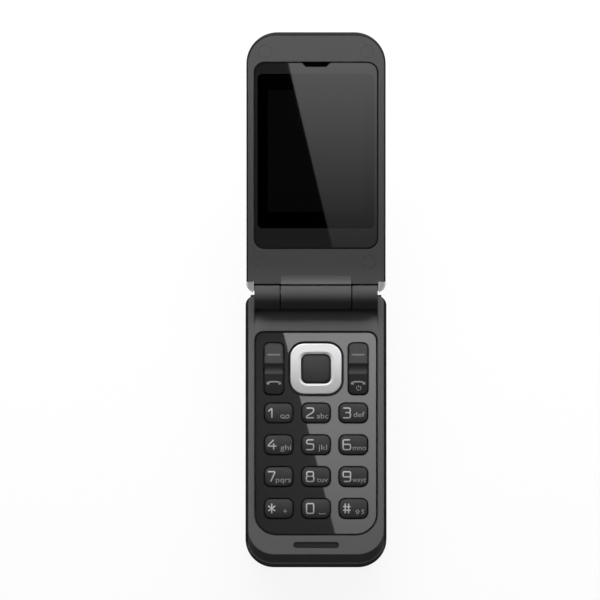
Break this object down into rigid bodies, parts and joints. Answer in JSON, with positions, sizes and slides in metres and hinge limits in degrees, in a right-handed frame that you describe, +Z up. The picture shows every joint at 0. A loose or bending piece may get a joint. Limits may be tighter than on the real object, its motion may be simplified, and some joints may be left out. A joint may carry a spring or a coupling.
{
  "type": "folding mobile phone",
  "caption": "Folding mobile phone, opened: a display lid on a barrel hinge over a base with number keys, a four-way ring, rocker keys and a slide-off battery cover.",
  "frame": {"origin": "bottom centre of the opened phone's box, on the surface that the base lies on", "axes": "+X to the phone's right, +Y towards the far end of the lid, +Z up, out of the keypad"},
  "size_m": [0.0466, 0.1746, 0.0325],
  "materials": {
    "shell": "satin moulded dark grey",
    "faceplate": "polished",
    "keys": "polished",
    "ring": "satin silver paint",
    "caps": "bright plated",
    "lens": "polished tinted window",
    "display": "dark glass",
    "insert": "matt black",
    "mat": "soft translucent grey",
    "domes": "bright",
    "board": "green resist",
    "sheet_steel": "plated sheet",
    "port": "plated sheet",
    "chip": "moulded",
    "connector": "moulded",
    "contacts": "gold flash",
    "battery": "bare can",
    "speaker": "moulded",
    "weight": "sintered",
    "screws": "blackened",
    "spring": "drawn wire",
    "shaft": "ground",
    "bush": "moulded",
    "ribbon": "film",
    "magnet": "plated"
  },
  "bodies": {
    "base": {"base_front_case": "shell", "base_rear_case": "shell", "keypad_faceplate": "faceplate", "keypad_mat": "mat", "dome_switches": "domes", "main_board": "board", "shield_can": "sheet_steel", "processor_chip": "chip", "sim_holder": "sheet_steel", "battery_connector": "connector", "battery_contacts": "contacts", "battery": "battery", "charging_port": "port", "microphone": "sheet_steel", "mic_insert": "insert", "loudspeaker": "speaker", "vibration_motor": "sheet_steel", "antenna": "contacts", "hall_sensor": "chip", "base_screws": "screws", "hinge_can": "sheet_steel", "hinge_spring": "spring", "hinge_bush": "bush", "board_ribbon": "ribbon"},
    "lid": {"lid_front_case": "shell", "lid_rear_case": "shell", "left_hinge_cap": "caps", "right_hinge_cap": "caps", "display_lens": "lens", "lcd_panel": "display", "lcd_tray": "sheet_steel", "earpiece": "speaker", "earpiece_mesh": "insert", "closing_magnet": "magnet", "lid_screws": "screws", "lid_screw_plugs": "shell", "hinge_shaft": "shaft", "display_ribbon": "ribbon"},
    "key_1": {"key_1": "keys"},
    "key_2": {"key_2": "keys"},
    "key_3": {"key_3": "keys"},
    "key_4": {"key_4": "keys"},
    "key_5": {"key_5": "keys"},
    "key_6": {"key_6": "keys"},
    "key_7": {"key_7": "keys"},
    "key_8": {"key_8": "keys"},
    "key_9": {"key_9": "keys"},
    "key_star": {"key_star": "keys"},
    "key_0": {"key_0": "keys"},
    "key_hash": {"key_hash": "keys"},
    "left_rocker_key": {"left_rocker_key": "keys"},
    "right_rocker_key": {"right_rocker_key": "keys"},
    "nav_actuator": {"nav_actuator": "bush"},
    "nav_ring": {"nav_ring": "ring"},
    "select_key": {"select_key": "keys"},
    "battery_cover": {"battery_cover": "shell"},
    "vibration_weight": {"vibration_weight": "weight"}
  },
  "joints": [
    {"name": "lid_fold", "type": "hinge", "parent": "base", "child": "lid", "pos_m": [0, 0.00136, 0.01015], "axis": [1, 0, 0], "range_deg": [0, 165]},
    {"name": "key_1_press", "type": "slide", "parent": "base", "child": "key_1", "axis": [0, 0, -1], "range_m": [0, 0.00035], "stiffness_N_per_m": 4000},
    {"name": "key_2_press", "type": "slide", "parent": "base", "child": "key_2", "axis": [0, 0, -1], "range_m": [0, 0.00035], "stiffness_N_per_m": 4000},
    {"name": "key_3_press", "type": "slide", "parent": "base", "child": "key_3", "axis": [0, 0, -1], "range_m": [0, 0.00035], "stiffness_N_per_m": 4000},
    {"name": "key_4_press", "type": "slide", "parent": "base", "child": "key_4", "axis": [0, 0, -1], "range_m": [0, 0.00035], "stiffness_N_per_m": 4000},
    {"name": "key_5_press", "type": "slide", "parent": "base", "child": "key_5", "axis": [0, 0, -1], "range_m": [0, 0.00035], "stiffness_N_per_m": 4000},
    {"name": "key_6_press", "type": "slide", "parent": "base", "child": "key_6", "axis": [0, 0, -1], "range_m": [0, 0.00035], "stiffness_N_per_m": 4000},
    {"name": "key_7_press", "type": "slide", "parent": "base", "child": "key_7", "axis": [0, 0, -1], "range_m": [0, 0.00035], "stiffness_N_per_m": 4000},
    {"name": "key_8_press", "type": "slide", "parent": "base", "child": "key_8", "axis": [0, 0, -1], "range_m": [0, 0.00035], "stiffness_N_per_m": 4000},
    {"name": "key_9_press", "type": "slide", "parent": "base", "child": "key_9", "axis": [0, 0, -1], "range_m": [0, 0.00035], "stiffness_N_per_m": 4000},
    {"name": "key_star_press", "type": "slide", "parent": "base", "child": "key_star", "axis": [0, 0, -1], "range_m": [0, 0.00035], "stiffness_N_per_m": 4000},
    {"name": "key_0_press", "type": "slide", "parent": "base", "child": "key_0", "axis": [0, 0, -1], "range_m": [0, 0.00035], "stiffness_N_per_m": 4000},
    {"name": "key_hash_press", "type": "slide", "parent": "base", "child": "key_hash", "axis": [0, 0, -1], "range_m": [0, 0.00035], "stiffness_N_per_m": 4000},
    {"name": "select_key_press", "type": "slide", "parent": "base", "child": "select_key", "axis": [0, 0, -1], "range_m": [0, 0.00035], "stiffness_N_per_m": 4000},
    {"name": "left_rocker_tilt", "type": "hinge", "parent": "base", "child": "left_rocker_key", "pos_m": [-0.0139, -0.02229, 0.0083], "axis": [1, 0, 0], "range_deg": [-1.5, 1.5], "stiffness_Nm_per_rad": 0.3},
    {"name": "right_rocker_tilt", "type": "hinge", "parent": "base", "child": "right_rocker_key", "pos_m": [0.0139, -0.02229, 0.0083], "axis": [1, 0, 0], "range_deg": [-1.5, 1.5], "stiffness_Nm_per_rad": 0.3},
    {"name": "nav_tilt_up_down", "type": "hinge", "parent": "base", "child": "nav_actuator", "pos_m": [0, -0.02229, 0.00765], "axis": [1, 0, 0], "range_deg": [-1.5, 1.5], "stiffness_Nm_per_rad": 0.3},
    {"name": "nav_tilt_left_right", "type": "hinge", "parent": "nav_actuator", "child": "nav_ring", "pos_m": [0, -0.02229, 0.00815], "axis": [0, 1, 0], "range_deg": [-1.5, 1.5], "stiffness_Nm_per_rad": 0.3},
    {"name": "battery_cover_slide", "type": "slide", "parent": "base", "child": "battery_cover", "axis": [0, -1, 0], "range_m": [0, 0.07]},
    {"name": "vibration_weight_spin", "type": "hinge", "parent": "base", "child": "vibration_weight", "pos_m": [-0.006, -0.01624, 0.00335], "axis": [1, 0, 0], "continuous": true}
  ]
}
